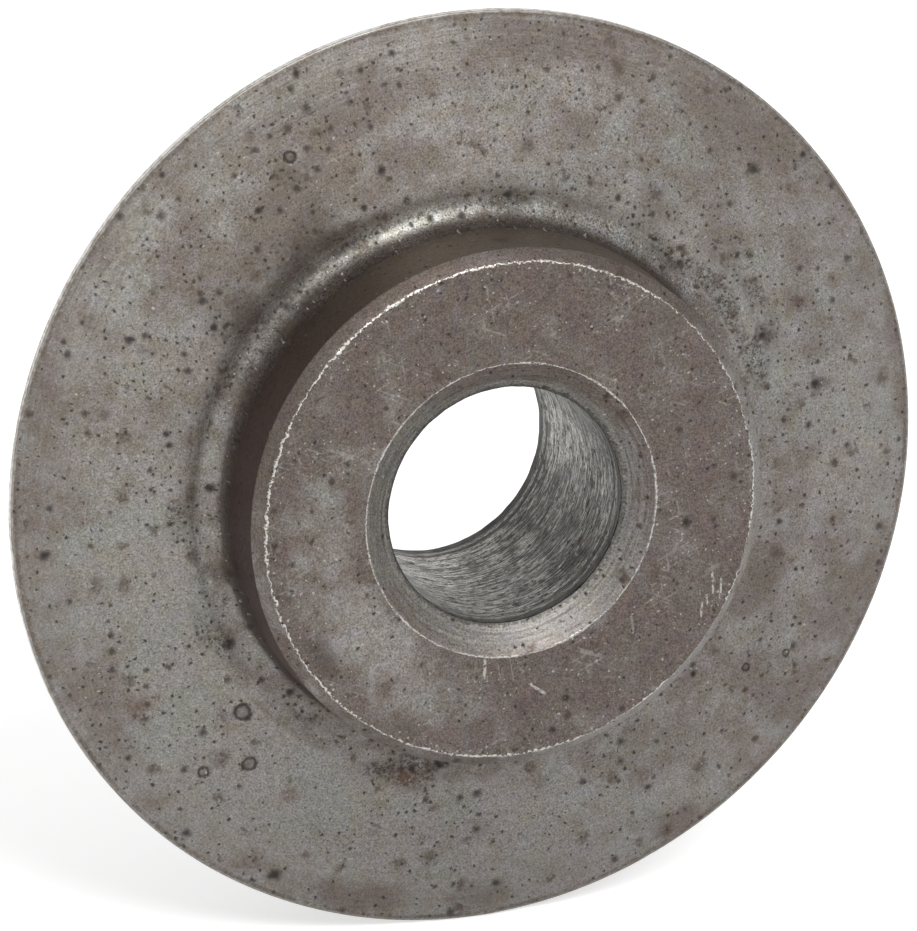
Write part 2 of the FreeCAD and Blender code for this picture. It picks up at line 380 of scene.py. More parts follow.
def paint_film_and_bore_light():
    """Brown film; in the bore this layer holds how brightly the wall is lit."""
    deep = fade(axial, off=3.0, on=-3.0)
    cone = sectors((0.24, 84, 34, 30), (-0.58, 162, 32, 18), (-0.16, 320, 18, 14),
                   (-0.22, 290, 40, 30))
    # Painted light and shade in the bore: brighter at the bottom and on the right, more so towards
    # the back mouth, darker at the lower right.
    lit = sectors((0.18 + 0.5 * deep, 258, 8, 26), (0.13 + 0.52 * deep, 10, 12, 26),
                  (-0.26, 333, 14, 22))
    film = 0.5 + 0.1 * coarse
    for mask, level in (
        (on_face, 0.7 + 0.1 * coarse),
        # The bevel's film thins at its lower right, a painted reflection there, and at its lower
        # left.
        (on_bevel, 0.74 - front * sectors((0.34, 332, 50, 25), (0.16, 210, 32, 20))),
        (on_wall, 0.8),
        (on_cone, 0.5 + cone),
        # On the fillet the film thins at the top, part of the painted highlight there, and at the
        # left.
        (on_fillet, 0.62 - front * sectors((0.08, 104, 20, 16), (0.1, 190, 24, 16))
         + 0.16 * blotchy),
        (in_bore, 0.49 + lit),
    ):
        film = np.where(mask, level, film)
    # Paler parts of the flank and of the hub face.
    pale = (radius > 10.6) * sectors((0.14, 216, 32, 18)) * fade(radius, off=15.2, on=13.8)
    pale = pale + 0.16 * ~in_bore * blobs([
        (13.2, 1.2, 1.7, 4.2, 0, 0.62), (9.6, -9.4, 1.0, 1.8, 42, 0.7),
        (-11.6, 5.2, 1.8, 2.6, 60, 0.5), (3.6, -12.6, 4.2, 1.5, 12, 0.95),
    ], rag=0.6, seed=41)
    pale = pale + 0.3 * on_face * blobs([
        (-4.9, -3.9, 3.2, 1.7, 130, 1.0), (-2.4, -6.2, 2.8, 1.2, 160, 0.6),
        (-6.3, -0.5, 2.6, 1.3, 96, 0.75), (-5.5, 2.2, 1.7, 1.1, 70, 0.65),
    ], rag=0.45, seed=3)
    # Darker patches on the flank.
    dark = (radius > 10) * blobs([
        (-5.0, 12.6, 2.6, 1.4, 20, 0.2), (-9.8, 8.6, 2.2, 1.4, 50, 0.14),
        (3.4, 11.9, 1.6, 1.0, 0, 0.12), (11.8, 4.6, 2.4, 0.9, 100, 0.14),
        (-12.6, -6.6, 2.2, 1.2, 120, 0.12), (0.6, -15.0, 2.2, 0.7, 3, 0.16),
        (-3.6, -14.8, 2.6, 0.8, 170, 0.24), (15.7, 2.0, 0.5, 6.5, 6, 0.22),
        (13.6, -4.6, 1.4, 2.6, 10, 0.12), (10.0, -8.6, 2.0, 1.2, 40, 0.1),
        (9.8, 11.4, 4.4, 1.3, 141, 0.24), (2.8, 14.8, 2.6, 1.0, 170, 0.2),
        (10.0, -4.4, 1.6, 0.9, 66, 0.3), (-2.0, 11.4, 1.8, 1.0, 10, 0.12),
        (12.6, 10.0, 1.4, 0.8, 130, 0.1), (14.3, -5.3, 0.8, 2.4, -20, 0.22),
        (-7.0, 9.8, 1.9, 0.8, 35, 0.22), (12.0, -9.3, 0.7, 1.9, -38, 0.18),
        (7.7, -13.2, 0.45, 0.9, -60, 0.34),
    ], rag=0.5, seed=5)
    outer = fade(radius, off=13.4, on=14.4) * sectors(
        (0.1, 77, 10, 8), (0.1, 172, 8, 8), (-0.1, 275, 16, 8), (0.07, 322, 8, 8),
        (-0.08, 6, 8, 6),
    )
    inner = fade(radius, off=10.5, on=10.9) * fade(radius, off=12.6, on=12.0) * sectors(
        (0.16, 117, 11, 8), (-0.12, 22, 8, 8), (0.11, 308, 8, 8), (0.12, 348, 11, 8),
        (-0.08, 266, 10, 8),
    )
    film = film + front * (dark + outer + inner - pale)
    return film - band * sectors((0.18, 37, 16, 14), (0.2, 196, 10, 12), (0.1, 108, 5, 6))


def paint_stain_and_shade():
    stain_and_shade = band * (0.75 + 0.5 * blotchy) * sectors(
        (0.95, 130, 8, 12), (0.42, 153, 12, 12), (0.42, 262, 10, 14), (0.08, 4, 10, 10)
    )
    inner = fade(radius, off=10.6, on=11.1) * fade(radius, off=12.6, on=11.5)
    stain_and_shade += front * inner * sectors((0.15, 135, 8, 12)) * (0.8 + 0.8 * blotchy)
    # Darker upper fillet next to the hub wall: partly oxide, partly painted shade of the deep corner.
    fillet_top = fade(away, off=1.3, on=1.75) * (0.84 + sectors((0.14, 140, 50, 20)))
    fillet_foot = fade(away, off=1.75, on=1.25) * (0.8 + 0.9 * blotchy) * (
        0.2 + sectors((0.38, 136, 13, 17), (0.26, 62, 24, 16), (-0.2, 190, 26, 18))
    )
    stain_and_shade += front * on_fillet * (fillet_top + fillet_foot)
    # Darker hub wall, most on its left: partly oxide, partly painted shade.
    stain_and_shade += on_wall * (0.3 + front * sectors((0.3, 168, 30, 30)))
    stain_and_shade += front * on_face * blobs([(-6.5, -4.9, 0.9, 0.6, 125, 0.2)], rag=0.5, seed=33)
    stain_and_shade += front * on_bevel * sectors((0.3, 158, 10, 12), (0.3, 80, 18, 14))
    stain_and_shade += front * blobs([
        (-6.0, 9.4, 1.7, 1.0, 40, 0.46), (-8.1, 7.9, 1.7, 0.8, 45, 0.3),
        (10.6, 4.4, 1.4, 0.6, 100, 0.36), (-3.6, -10.1, 1.3, 0.6, 165, 0.26),
        (-8.9, -4.6, 0.9, 0.45, 115, 0.28), (10.6, -4.4, 2.2, 0.9, 68, 0.36),
        (-6.75, -4.25, 1.15, 0.66, 122, 0.62), (0.6, -15.2, 1.8, 0.5, 3, 0.2),
        (-2.4, -9.7, 0.9, 0.35, 170, 0.2), (-8.3, 7.4, 1.4, 0.8, 48, 0.34),
    ], rag=0.45, seed=9)
    dark_spots = [  # x, z, radius
        (12.39, 2.0, 0.5), (10.27, 4.03, 0.42), (-9.28, -2.14, 0.55), (1.94, 11.42, 0.3),
        (-13.37, 6.64, 0.28), (-11.6, 5.5, 0.3), (-12.9, 3.4, 0.3),
    ]
    return stain_and_shade + 0.62 * spots(dark_spots, on=0.1, off=1.5, rag=0.8, seed=5)


def paint_bare_and_highlight():
    """Bare metal: rubbed patches, and on the fillet's top and upper left partly rubbed metal, partly
    a painted highlight.
    """
    patchy = np.clip(0.6 + 1.6 * blotchy, 0, 1.3)
    # Painted highlight on the fillet's top and upper left, over some rubbed metal.
    fillet = 0.1 + sectors((0.16, 104, 10, 14), (0.24 * patchy, 140, 12, 8))
    return front * (on_fillet * fade(away, off=1.55, on=1.25) * fillet + 0.5 * blobs([
        (-2.4, -8.4, 1.2, 0.35, 170, 0.4), (4.2, 12.9, 2.0, 0.8, 150, 0.5),
        (-11.6, 8.9, 2.6, 1.0, 55, 0.6), (-12.2, 1.4, 1.6, 2.6, 10, 0.4),
    ], rag=0.6, seed=15))


def paint_specks():
    """How thickly the dark specks lie."""
    sparse = [(7.6, -10.8, 4.6, 2.4, 145, 0.14), (-6.6, -11.2, 3.6, 1.8, 35, 0.1)]
    speck = 0.29 + 0.36 * blotchy - front * blobs(sparse, rag=0.5, seed=51)
    speck = np.where(radius > 10, speck, speck * 0.6)
    speck = np.where(in_bore, 0.46 + 0.3 * blotchy, speck)
    fillet = 0.38 + 0.5 * blotchy + sectors((0.28, 118, 32, 14)) * front
    speck = np.where(on_fillet, fillet, speck)
    speck += front * blobs([
        (8.6, 7.2, 2.4, 1.5, 130, 0.42), (10.3, 4.2, 2.2, 1.1, 105, 0.46),
        (6.6, 9.0, 2.2, 1.1, 145, 0.36), (10.0, 5.4, 0.9, 0.5, 110, 1.0),
        (8.5, 6.1, 1.2, 0.35, 128, 1.0), (10.2, 3.0, 0.7, 0.35, 100, 0.9),
        (-9.6, 5.8, 2.6, 1.6, 60, 0.3), (-4.6, 13.2, 3.0, 1.4, 20, 0.4),
        (-6.2, 10.9, 2.4, 1.3, 35, 0.4), (-9.3, -4.6, 1.7, 0.7, 118, 0.5),
        (-8.9, -5.2, 0.8, 0.35, 118, 1.0), (-3.3, -10.0, 1.3, 0.45, 163, 1.0),
        (-2.2, -10.1, 1.5, 0.8, 170, 0.7), (2.2, 9.9, 2.4, 0.6, 0, 0.45),
        (-4.2, 9.2, 2.2, 0.6, 25, 0.45), (-6.6, 8.4, 1.4, 0.5, 40, 0.6),
        (9.6, -8.6, 2.6, 2.0, 40, 0.2), (2.0, 12.6, 3.4, 1.6, 0, 0.28),
        (9.0, 5.0, 1.9, 0.5, 119, 1.1), (7.3, 6.9, 1.6, 0.42, 134, 1.0),
        (9.9, 3.4, 1.3, 0.45, 108, 1.0), (5.2, 8.7, 1.6, 0.42, 150, 0.6),
        (-12.6, -8.0, 2.2, 2.0, 0, 0.18), (-10.6, -0.4, 0.6, 1.2, 0, 0.5),
        (-6.2, -7.6, 1.0, 0.4, 140, 0.8), (6.3, -8.0, 1.6, 0.7, 35, 0.75),
        (9.4, -3.4, 1.3, 0.5, 72, 0.45),
    ], rag=0.5, seed=21)
    return np.where(on_face, speck * 0.75 + 0.05, speck)


def paint_rust():
    rust_spots = [  # x, z, radius
        (-6.54, -10.57, 0.3), (-2.49, -10.28, 0.22), (-11.79, -6.88, 0.3),
        (6.18, -11.37, 0.24), (13.0, 5.6, 0.22),
    ]
    return 0.9 * spots(rust_spots, on=0.2, off=1.5, rag=0.5, seed=7) + front * blobs([
        (-8.4, -5.9, 0.8, 0.4, 120, 0.5), (-2.6, -10.4, 0.9, 0.4, 165, 0.5),
        (13.2, 5.4, 0.7, 0.5, 0, 0.4),
    ], rag=0.5, seed=27)


LAYERS = {  # red, green, blue of each colour attribute
    "film": (paint_film_and_bore_light(), paint_stain_and_shade(), paint_bare_and_highlight()),
    "dirt": (paint_specks(), paint_rust(), marks),
}
for name, channels in LAYERS.items():
    layer = mesh.color_attributes.new(name, "FLOAT_COLOR", "POINT")
    data = np.ones((len(places), 4), np.float32)
    data[:, :3] = np.clip(np.stack(channels, -1), 0, 1)
    layer.data.foreach_set("color", data.ravel())


# ------------------------------------------------------------------ node graphs as arithmetic
class Value:
    """A node output; each operation on it adds a Math node."""

    def __init__(self, graph, socket):
        self.graph, self.socket = graph, socket

    def __add__(self, other):
        return self.graph.math("ADD", self, other)

    __radd__ = __add__

    def __sub__(self, other):
        return self.graph.math("SUBTRACT", self, other)

    def __rsub__(self, other):
        return self.graph.math("SUBTRACT", other, self)

    def __mul__(self, other):
        return self.graph.math("MULTIPLY", self, other)

    def __truediv__(self, other):
        return self.graph.math("DIVIDE", self, other)

    def __gt__(self, other):
        return self.graph.math("GREATER_THAN", self, other)

    def __lt__(self, other):
        return self.graph.math("LESS_THAN", self, other)

    def __abs__(self):
        return self.graph.math("ABSOLUTE", self)


class Graph:
    """Adds nodes to a tree; inputs may be Values or plain numbers."""

    def __init__(self, tree):
        self.tree = tree

    def put(self, socket, value):
        if isinstance(value, Value):
            self.tree.links.new(value.socket, socket)
        else:
            socket.default_value = value

    def node(self, kind, inputs, **settings):
        node = self.tree.nodes.new(kind)
        for key, setting in settings.items():
            setattr(node, key, setting)
        for key, value in inputs.items():
            self.put(node.inputs[key], value)
        return node

    def add(self, kind, inputs, output=0, **settings):
        """A new node's output, as a Value."""
        return Value(self, self.node(kind, inputs, **settings).outputs[output])

    def split(self, kind, source):
        return [Value(self, s) for s in self.node(kind, {0: source}).outputs]

    def math(self, operation, *values):
        return self.add("ShaderNodeMath", dict(enumerate(values)), operation=operation)

    def vmath(self, operation, *values):
        return self.add("ShaderNodeVectorMath", dict(enumerate(values)), operation=operation)

    def scaled(self, vector, factor):
        return self.add("ShaderNodeVectorMath", {0: vector, "Scale": factor}, operation="SCALE")

    def vec(self, *parts):
        return self.add("ShaderNodeCombineXYZ", dict(enumerate(parts)))

    def ramp(self, value, off, on):
        """Smooth step: 0 at off, 1 at on."""
        inputs = {"Value": value, "From Min": off, "From Max": on}
        return self.add("ShaderNodeMapRange", inputs, interpolation_type="SMOOTHSTEP")

    def noise(self, vector, scale, detail, rough, output=0):
        inputs = {"Vector": vector, "Scale": scale, "Detail": detail, "Roughness": rough}
        return self.add("ShaderNodeTexNoise", inputs, output)

    def blend(self, kind, amount, low, high):
        """low where amount is 0, high where it is 1."""
        k = ("FLOAT", "VECTOR", "RGBA").index(kind)
        inputs = {0: amount, 2 + 2 * k: low, 3 + 2 * k: high}
        return self.add("ShaderNodeMix", inputs, k, data_type=kind, clamp_factor=True)

    def lerp(self, amount, low, high):
        return self.blend("FLOAT", amount, low, high)

    def mix(self, amount, base, over):
        """Lays one colour over another."""
        pair = [(*c, 1.0) if isinstance(c, tuple) else c for c in (base, over)]
        return self.blend("RGBA", amount, *pair)

    def most(self, first, *others):
        for other in others:
            first = self.math("MAXIMUM", first, other)
        return first


# ------------------------------------------------------------------ the steel
material = bpy.data.materials.new("worn_steel")
material.use_nodes = True
material.node_tree.nodes.clear()
graph = Graph(material.node_tree)
vec, ramp, noise, lerp, mix = graph.vec, graph.ramp, graph.noise, graph.lerp, graph.mix
most, scaled, vmath = graph.most, graph.scaled, graph.vmath

# Place on the wheel: millimetres, distance from the axle and from the mid plane.
mm = scaled(graph.add("ShaderNodeTexCoord", {}, "Object"), 1000.0)
x, y, z = graph.split("ShaderNodeSeparateXYZ", mm)
reach = graph.math("SQRT", x * x + z * z)
depth = abs(y)
right, up = x / reach, z / reach  # direction from the axle, seen from the front

# Regions.
bore = ramp(depth, off=4.13, on=4.08) * ramp(reach, off=4.6, on=4.3)
cone = ramp(depth, off=4.08, on=4.13) * ramp(reach, off=5.13, on=5.07)
face = ramp(reach, off=5.06, on=5.12) * ramp(reach, off=8.66, on=8.56)
face = face * ramp(depth, off=4.5, on=4.6)
bevel = ramp(reach, off=8.56, on=8.66) * ramp(depth, off=4.32, on=4.37)
wall = ramp(depth, off=1.95, on=2.3) * ramp(depth, off=4.37, on=4.32)
wall = wall * ramp(reach, off=8.5, on=8.7) * ramp(reach, off=9.6, on=9.3)
fillet = ramp(reach, off=8.7, on=8.8) * ramp(reach, off=9.95, on=9.6)
fillet = fillet * ramp(depth, off=2.3, on=2.0)
flank = ramp(reach, off=9.8, on=10.1)
inside = bore > 0.5

film_and_bore_light_paint, stain_and_shade_paint, bare_and_highlight_paint, speck_paint, rust_paint, mark_paint = (
    part
    for name in LAYERS
    for part in graph.split(
        "ShaderNodeSeparateColor",
        graph.add("ShaderNodeAttribute", {}, "Color", attribute_name=name),
    )
)

# Sheet for the specks: flat on the faces, unrolled on the hub wall and in the bore.
# Each unrolling has its seam turned to its own side.
unrolled = most(bore, wall) > 0.5
wall_arc = graph.math("ARCTAN2", x * -0.866 + z * 0.5, x * -0.5 - z * 0.866) * reach
bore_arc = graph.math("ARCTAN2", x * 0.7 + z * 0.7, x * 0.7 - z * 0.7) * reach
arc = lerp(bore > 0.5, wall_arc, bore_arc)
BACK_SHIFT, UNROLLED_SHIFT = 37.3, 61.7  # keep the patterns apart
sheet = vec(
    lerp(unrolled, x + (y > 0.0) * BACK_SHIFT, arc), lerp(unrolled, z, y + UNROLLED_SHIFT), 0.0
)


def roughened(vector, scale, detail, rough, amount):
    """The vector pushed about by coloured noise."""
    push = noise(mm, scale, detail, rough, output=1)
    return vmath("ADD", vector, scaled(vmath("SUBTRACT", push, (0.5, 0.5, 0.5)), amount))


sheet = roughened(sheet, scale=6.5, detail=1, rough=0.6, amount=0.15)
rough_sheet = roughened(sheet, scale=2.6, detail=2, rough=0.7, amount=0.75)


def specks(scale, small, large, keep, seed, soft=1.0, on=sheet):
    """Dots of small to large radius, one to a cell; keep is the share of cells used."""
    vector = vmath("ADD", on, (seed, seed * 0.7, 0.0))
    inputs = {"Vector": vector, "Scale": scale}
    cells = graph.node("ShaderNodeTexVoronoi", inputs, voronoi_dimensions="2D")
    gap, colour = (Value(graph, cells.outputs[key]) for key in ("Distance", "Color"))
    chance, spread, _ = graph.split("ShaderNodeSeparateColor", colour)
    size = lerp(spread * spread, small * scale, large * scale)
    dot = ramp(gap, off=size * (1.0 + 0.5 * soft), on=size * (1.0 - 0.75 * soft))
    return dot * (chance < keep)


# Textures shared by colour and roughness.
grain = noise(mm, scale=15.0, detail=1, rough=0.8)
grit = noise(mm, scale=5.0, detail=1, rough=0.6)
cloud = noise(mm, scale=0.85, detail=4, rough=0.65)
patch = noise(mm, scale=0.42, detail=2, rough=0.55)
broad = noise(mm, scale=0.62, detail=1, rough=0.5)
chew = noise(mm, scale=7.0, detail=1, rough=0.8)
wobble = noise(mm, scale=2.6, detail=1, rough=0.7) - 0.5
tool_place = graph.blend(
    "VECTOR",
    inside,
    low=vec(reach * 8.5, right * 1.6, up * 1.6),
    high=vec(right * 4.4, up * 4.4, y * 10.5),
)
tool = noise(tool_place, scale=1.0, detail=4, rough=0.88)

# Specks, soot, pits and pale flecks.
uneven_mark = chew * 0.55 + grain * 0.45 + (mark_paint - 0.5) * 0.3
pit = mark_paint * ramp(uneven_mark, off=0.22, on=0.5)
fine = specks(scale=3.4, small=0.02, large=0.072, keep=speck_paint * 1.12, seed=3.1)
mid = specks(scale=1.55, small=0.045, large=0.17, keep=speck_paint * 0.8, seed=7.7, soft=1.15)
big = specks(
    scale=0.92, small=0.09, large=0.32, keep=speck_paint * 1.0, seed=11.3, soft=1.1, on=rough_sheet
) * ramp(chew * 0.5 + grit * 0.5 + 0.05, off=0.34, on=0.54)
soot = ramp(speck_paint + (grit - 0.5) * 0.35, off=0.55, on=1.0)
soot = soot * ramp(chew * 0.4 + grain * 0.6, off=0.48, on=0.56)
near_rim = ramp(reach, off=13.2, on=15.2) * flank
near_edge = ramp(abs(reach - 8.45), off=0.42, on=0.12) * face
fleck_keep = lerp(face, low=0.05, high=0.36) * ramp(broad, off=0.38, on=0.6)
fleck_keep = fleck_keep + fillet * 0.25 + near_edge * 0.3
flecks = specks(scale=4.6, small=0.012, large=0.04, keep=fleck_keep, seed=17.9, soft=0.9)

# Bare steel, greenish and pinkish by turns.
steel = mix(ramp(patch, off=0.35, on=0.65), (0.29, 0.286, 0.264), (0.268, 0.248, 0.228))
green = ramp(noise(mm, scale=0.75, detail=1, rough=0.5), off=0.5, on=0.72)
steel = mix(green * 0.55, steel, (0.272, 0.258, 0.214))
pink = ramp(noise(mm, scale=0.5, detail=2, rough=0.6), off=0.42, on=0.64)
steel = mix(pink * 0.65, steel, (0.296, 0.268, 0.25))

# Brown film over it, then stain, partly painted shade at the hub's root, and rubbed metal, partly a
# painted highlight on the fillet.
film = ramp(cloud * 0.86 + grit * 0.14 + film_and_bore_light_paint - 0.5, off=0.34, on=0.72)
hue = ramp(noise(mm, scale=1.1, detail=1, rough=0.6), off=0.36, on=0.64)


def film_tones(first, second):
    """Four browns: a light and dark pair for each hue."""
    return mix(hue, mix(patch, *first), mix(patch, *second))


film_colour = mix(
    most(face, bevel, wall),
    film_tones(
        ((0.206, 0.18, 0.156), (0.16, 0.136, 0.116)),
        ((0.206, 0.175, 0.16), (0.162, 0.132, 0.12)),
    ),
    film_tones(
        ((0.173, 0.145, 0.126), (0.124, 0.102, 0.089)),
        ((0.171, 0.137, 0.124), (0.131, 0.102, 0.091)),
    ),
)
colour = mix(film, steel, film_colour)
# Stain; on the hub wall and the upper fillet partly painted shade.
uneven_stain_and_shade = stain_and_shade_paint + (grit - 0.5) * 0.55 + (chew - 0.5) * 0.35 + (grain - 0.5) * 0.3
stain_and_shade = ramp(uneven_stain_and_shade, off=0.12, on=0.88)
colour = mix(stain_and_shade * 0.8, colour, (0.062, 0.046, 0.04))
# Rubbed metal; on the fillet's top partly a painted highlight.
colour = mix(bare_and_highlight_paint * ramp(grit, off=0.25, on=0.62) * 0.9, colour, (0.4, 0.395, 0.37))
dull = ramp(noise(mm, scale=1.7, detail=2, rough=0.6), off=0.5, on=0.3) * face * film
colour = scaled(colour, 1.0 - dull * 0.22)

# Tool marks: rings on the flank and in the cone, strongest at the flank's top left.
top_left = ramp(up, off=-0.1, on=0.75) * ramp(right, off=0.72, on=0.3)
flank_rings = lerp(near_rim, low=0.14, high=lerp(top_left, low=0.24, high=0.72))
ring_amount = flank * flank_rings + face * 0.08 + cone * 0.85 + bevel * 0.3
brightness = 1.0 + (tool - 0.5) * 2.0 * ring_amount

# Bore: streaks, dashes, gouges, painted glints, painted light and shade round the wall, and lines
# just inside the mouths, with painted shade there.
streaks = noise(vec(right * 13.0, up * 13.0, y * 19.0), scale=1.0, detail=1, rough=0.7)
dash = ramp(streaks, off=0.56, on=0.64) * bore
# Painted glints: pale streaks in the bore wall's colour.
glint = ramp(streaks, off=0.45, on=0.37) * bore
uneven = lerp(ramp(cloud, off=0.38, on=0.62), low=0.7, high=1.3)
uneven = uneven * lerp(film_and_bore_light_paint, low=0.3, high=1.8)
polish = (tool - 0.5) * uneven + 0.5 + (cloud - 0.5) * 0.25 + (film_and_bore_light_paint - 0.5) * 0.06
wall_tone = mix(ramp(polish, off=0.42, on=0.59), (0.04, 0.036, 0.03), (0.345, 0.337, 0.306))
wall_tone = mix(glint * ramp(tool, off=0.42, on=0.6) * 0.55, wall_tone, (0.6, 0.59, 0.545))
wall_tone = mix(dash * 0.8, wall_tone, (0.026, 0.023, 0.02))
gouge = noise(vec(right * 8.0, up * 8.0, y * 6.0), scale=1.0, detail=2, rough=0.7)
gouge = ramp(gouge, off=0.55, on=0.61) * ramp(chew, off=0.36, on=0.52)
wall_tone = mix(gouge * 0.88, wall_tone, (0.02, 0.018, 0.016))
# Painted light and shade round the bore wall, from the painted layer; the streaks' contrast above
# grows with it.
light = lerp(film_and_bore_light_paint, low=0.68, high=1.66) + ramp(film_and_bore_light_paint, off=0.75, on=1.0) * 0.15
wall_tone = scaled(wall_tone, light)
# Painted shade just inside each mouth: a dark band, and the ragged dark line nearest the mouth.
mouth = ramp(depth + wobble * 0.22, off=3.2, on=3.4)
wall_tone = mix(mouth * 0.45, wall_tone, (0.062, 0.056, 0.05))
line = ramp(abs(depth - 3.96 + wobble * 0.14 + (chew - 0.5) * 0.2), off=0.34, on=0.2)
thin_line = ramp(abs(depth - 3.34 + wobble * 0.22), off=0.15, on=0.06)
line = line + thin_line * ramp(broad, off=0.3, on=0.5)
wall_tone = mix(graph.math("MINIMUM", line, 1.0) * 0.86, wall_tone, (0.024, 0.021, 0.018))
pale = ramp(abs(depth - 3.18 + wobble * 0.2), off=0.1, on=0.03)
pale = pale + ramp(abs(depth - 3.56 + wobble * 0.14), off=0.12, on=0.05)
wall_tone = mix(pale * ramp(chew, off=0.42, on=0.62) * 0.5, wall_tone, (0.46, 0.45, 0.41))
colour = mix(bore, colour, wall_tone)

# Cone: two bands with dark lines between them, and a dark inner lip.
inner = ramp(reach + wobble * 0.2, off=4.56, on=4.4)
outer = ramp(reach + wobble * 0.16, off=4.74, on=4.84)
between = mix(film, (0.23, 0.218, 0.199), (0.17, 0.144, 0.127))
cone_colour = mix(inner, between, (0.233, 0.221, 0.202))
outer = outer * lerp(film_and_bore_light_paint, low=0.1, high=1.15)
colour = mix(cone, colour, mix(outer, cone_colour, (0.172, 0.14, 0.127)))
line = ramp(abs(reach - 4.43 + wobble * 0.03), off=0.055, on=0.01) * cone
colour = mix(line * 0.52 * ramp(broad, off=0.3, on=0.7), colour, (0.06, 0.05, 0.042))
lip = ramp(reach + (chew - 0.5) * 0.42 + wobble * 0.16, off=4.3, on=4.16) * cone
colour = mix(lip * 0.62, colour, (0.052, 0.046, 0.04))
line = ramp(abs(reach - 4.62 + wobble * 0.05), off=0.035, on=0.008) * cone
colour = mix(line * ramp(chew, off=0.4, on=0.58) * 0.4, colour, (0.08, 0.068, 0.058))

# Light and dark grain, and slight drifts of hue.
shiny = fillet * ramp(up, off=0.2, on=0.8)
brightness = brightness * (1.0 + (grain - 0.5) * (1.85 + shiny * 1.3 - near_rim * 0.45))
brightness = brightness * (1.0 + (grit - 0.5) * (0.46 + face * 0.26 + shiny * 0.5))
brightness = brightness * lerp(patch, low=0.86, high=1.14)
brightness = brightness * (1.0 + cone * ramp(right, off=0.3, on=-0.5) * 0.07)
jitter = noise(mm, scale=1.7, detail=2, rough=0.6) - 0.5
left = wall * ramp(right, off=-0.3, on=-0.85)
red = 1.0 - fillet * ramp(up, off=0.3, on=0.9) * ramp(depth, off=1.65, on=1.4) * 0.045
blue = 1.008 + (right - up) * 0.01 - jitter * 0.3 - left * 0.06
blue = blue - wall * ramp(up, off=0.2, on=0.8) * 0.1
colour = vmath("MULTIPLY", colour, vec(red, 1.0 - left * 0.11, blue))
colour = scaled(colour, most(brightness, 0.25))

# Fine scratches in three directions.
scratches = []
for tilt, seed, threshold in ((0.45, 1.0, 0.6), (1.75, 5.0, 0.62), (2.75, 9.0, 0.61)):
    c, s = math.cos(tilt), math.sin(tilt)
    stretched = vec((x * c + z * s) * 0.7 + seed, (z * c - x * s) * 12.0, y * 0.3)
    streak = noise(stretched, scale=1.0, detail=0, rough=0.5)
    scratches.append(ramp(streak, off=threshold + 0.05, on=threshold + 0.14))
scratch = most(*scratches) * ramp(broad + wobble * 0.5, off=0.5, on=0.66) * most(flank, face)
scratch = scratch * lerp(face, low=0.22, high=0.34) * ramp(grit, off=0.3, on=0.6)
colour = mix(scratch, colour, (0.42, 0.405, 0.38))

# A few short deeper scrapes on the front hub face.
SCRAPES = [  # x, z, angle in degrees, half length, half width
    (-0.97, -5.45, 88, 0.4, 0.075), (7.15, -3.3, 92, 0.45, 0.055), (7.44, -3.5, 89, 0.42, 0.05),
    (6.76, -4.2, 84, 0.3, 0.055), (0.9, -6.35, 142, 0.42, 0.07), (6.95, -3.85, 95, 0.24, 0.045),
]
scrapes = []
for mid_x, mid_z, tilt, long, thin in SCRAPES:
    c, s = math.cos(math.radians(tilt)), math.sin(math.radians(tilt))
    along = abs((x - mid_x) * c + (z - mid_z) * s)
    across = abs((z - mid_z) * c - (x - mid_x) * s + wobble * 0.12)
    scrapes.append(
        ramp(across, off=thin, on=thin * 0.35) * ramp(along, off=long, on=long * 0.7)
    )
scrape = most(*scrapes) * face * ramp(y, off=0.0, on=-1.0)
scrape = scrape * ramp(chew * 0.5 + grain * 0.5, off=0.38, on=0.54) * 0.75
colour = mix(scrape, colour, (0.56, 0.54, 0.5))

# Specks, pits, rust and flecks.
colour = mix(fine * 0.88, colour, (0.043, 0.036, 0.031))
colour = mix(soot * 0.8, colour, (0.042, 0.034, 0.028))
mid_tone = mix(ramp(broad, off=0.4, on=0.6), (0.075, 0.052, 0.042), (0.05, 0.044, 0.04))
colour = mix(mid * 0.8, colour, mid_tone)
colour = mix(big * 0.7, colour, (0.088, 0.062, 0.048))
colour = mix(pit * 0.9, colour, mix(pit, (0.085, 0.066, 0.056), (0.028, 0.025, 0.023)))
rust = rust_paint * ramp(grit * 0.5 + chew * 0.5, off=0.3, on=0.6)
colour = mix(rust * 0.85, colour, (0.128, 0.07, 0.046))
colour = mix(flecks * 0.62, colour, (0.58, 0.56, 0.52))

# Worn edges: bright broken lines round the hub face and the cone's mouth.
broken = ramp(chew * 0.55 + grain * 0.45, off=0.4, on=0.52)
width = lerp(ramp(broad, off=0.35, on=0.65), low=0.024, high=0.056)
width = width * lerp(ramp(right, off=0.1, on=0.85), low=1.0, high=0.62)
low_right = ramp(up, off=0.3, on=-0.3) * ramp(right, off=0.1, on=0.6)
strength = lerp(low_right * ramp(broad, off=0.56, on=0.44), low=1.0, high=0.3)
hub_gap = abs(reach - 8.6 + wobble * 0.14 + (chew - 0.5) * 0.2)
hub_edge = ramp(hub_gap, off=width, on=width * 0.45) * ramp(depth, off=4.45, on=4.55)
hub_edge = hub_edge * lerp(broken, low=0.06, high=strength)
width = lerp(ramp(broad, off=0.42, on=0.62), low=0.024, high=0.052)
cone_gap = abs(reach - 5.125 + wobble * 0.06 + (chew - 0.5) * 0.1)
cone_edge = ramp(cone_gap, off=width, on=width * 0.25) * ramp(depth, off=4.6, on=4.68)
worn = most(hub_edge, cone_edge * lerp(broken, low=0.1, high=0.78))
colour = mix(worn * 0.9, colour, (0.7, 0.685, 0.64))

